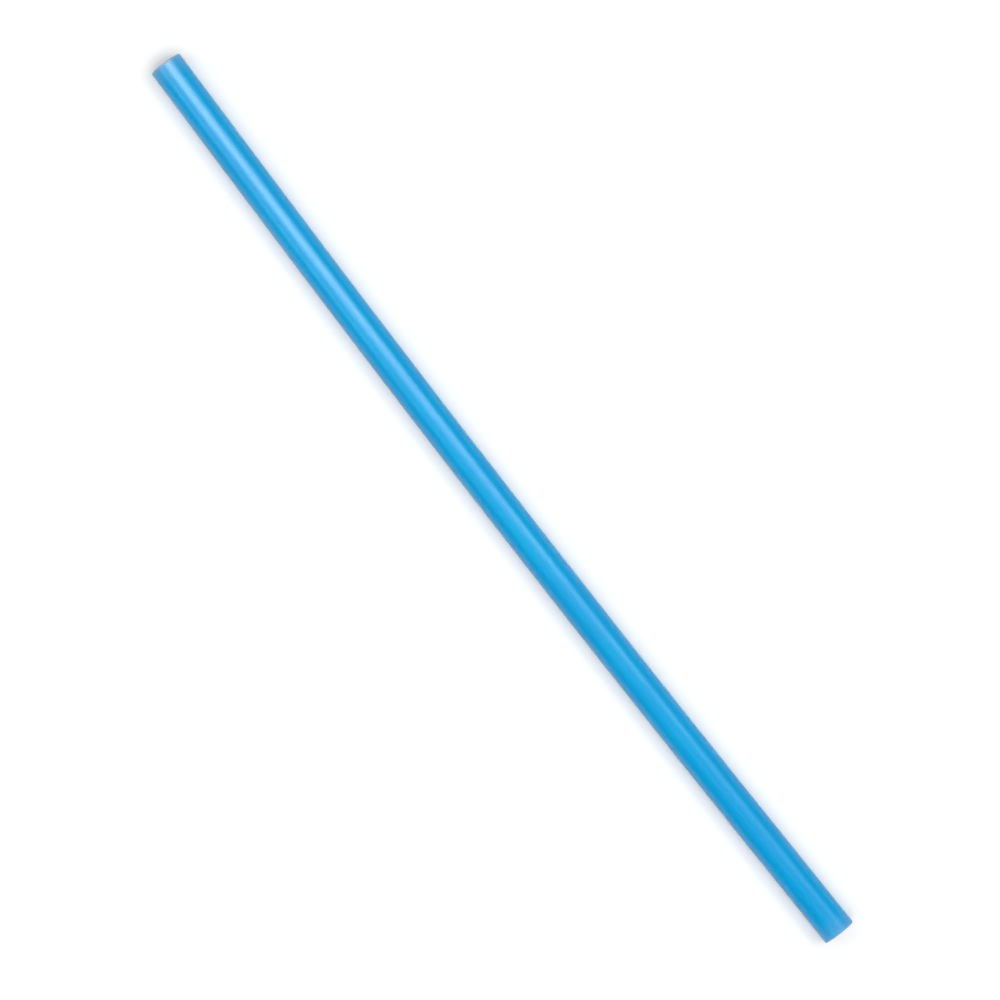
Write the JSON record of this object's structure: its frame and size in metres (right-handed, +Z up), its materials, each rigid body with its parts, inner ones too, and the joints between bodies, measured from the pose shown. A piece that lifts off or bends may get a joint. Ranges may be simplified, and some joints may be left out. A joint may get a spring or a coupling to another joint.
{
  "type": "reusable drinking straw",
  "caption": "Blue reusable drinking straw: thick-walled plastic tube, open at both square-cut ends, with a slight lengthwise bow.",
  "frame": {"origin": "on the surface that the straw lies on, under the middle of its bounding box", "axes": "+X along the straw from one cut end to the other, +Y towards the side that its two ends bow to, +Z up from the surface"},
  "size_m": [0.2032, 0.0076, 0.0065],
  "materials": {
    "tube_plastic": "satin, milky and slightly translucent, with faint streaks along the tube"
  },
  "bodies": {
    "root": {"straw": "tube_plastic"}
  },
  "joints": []
}
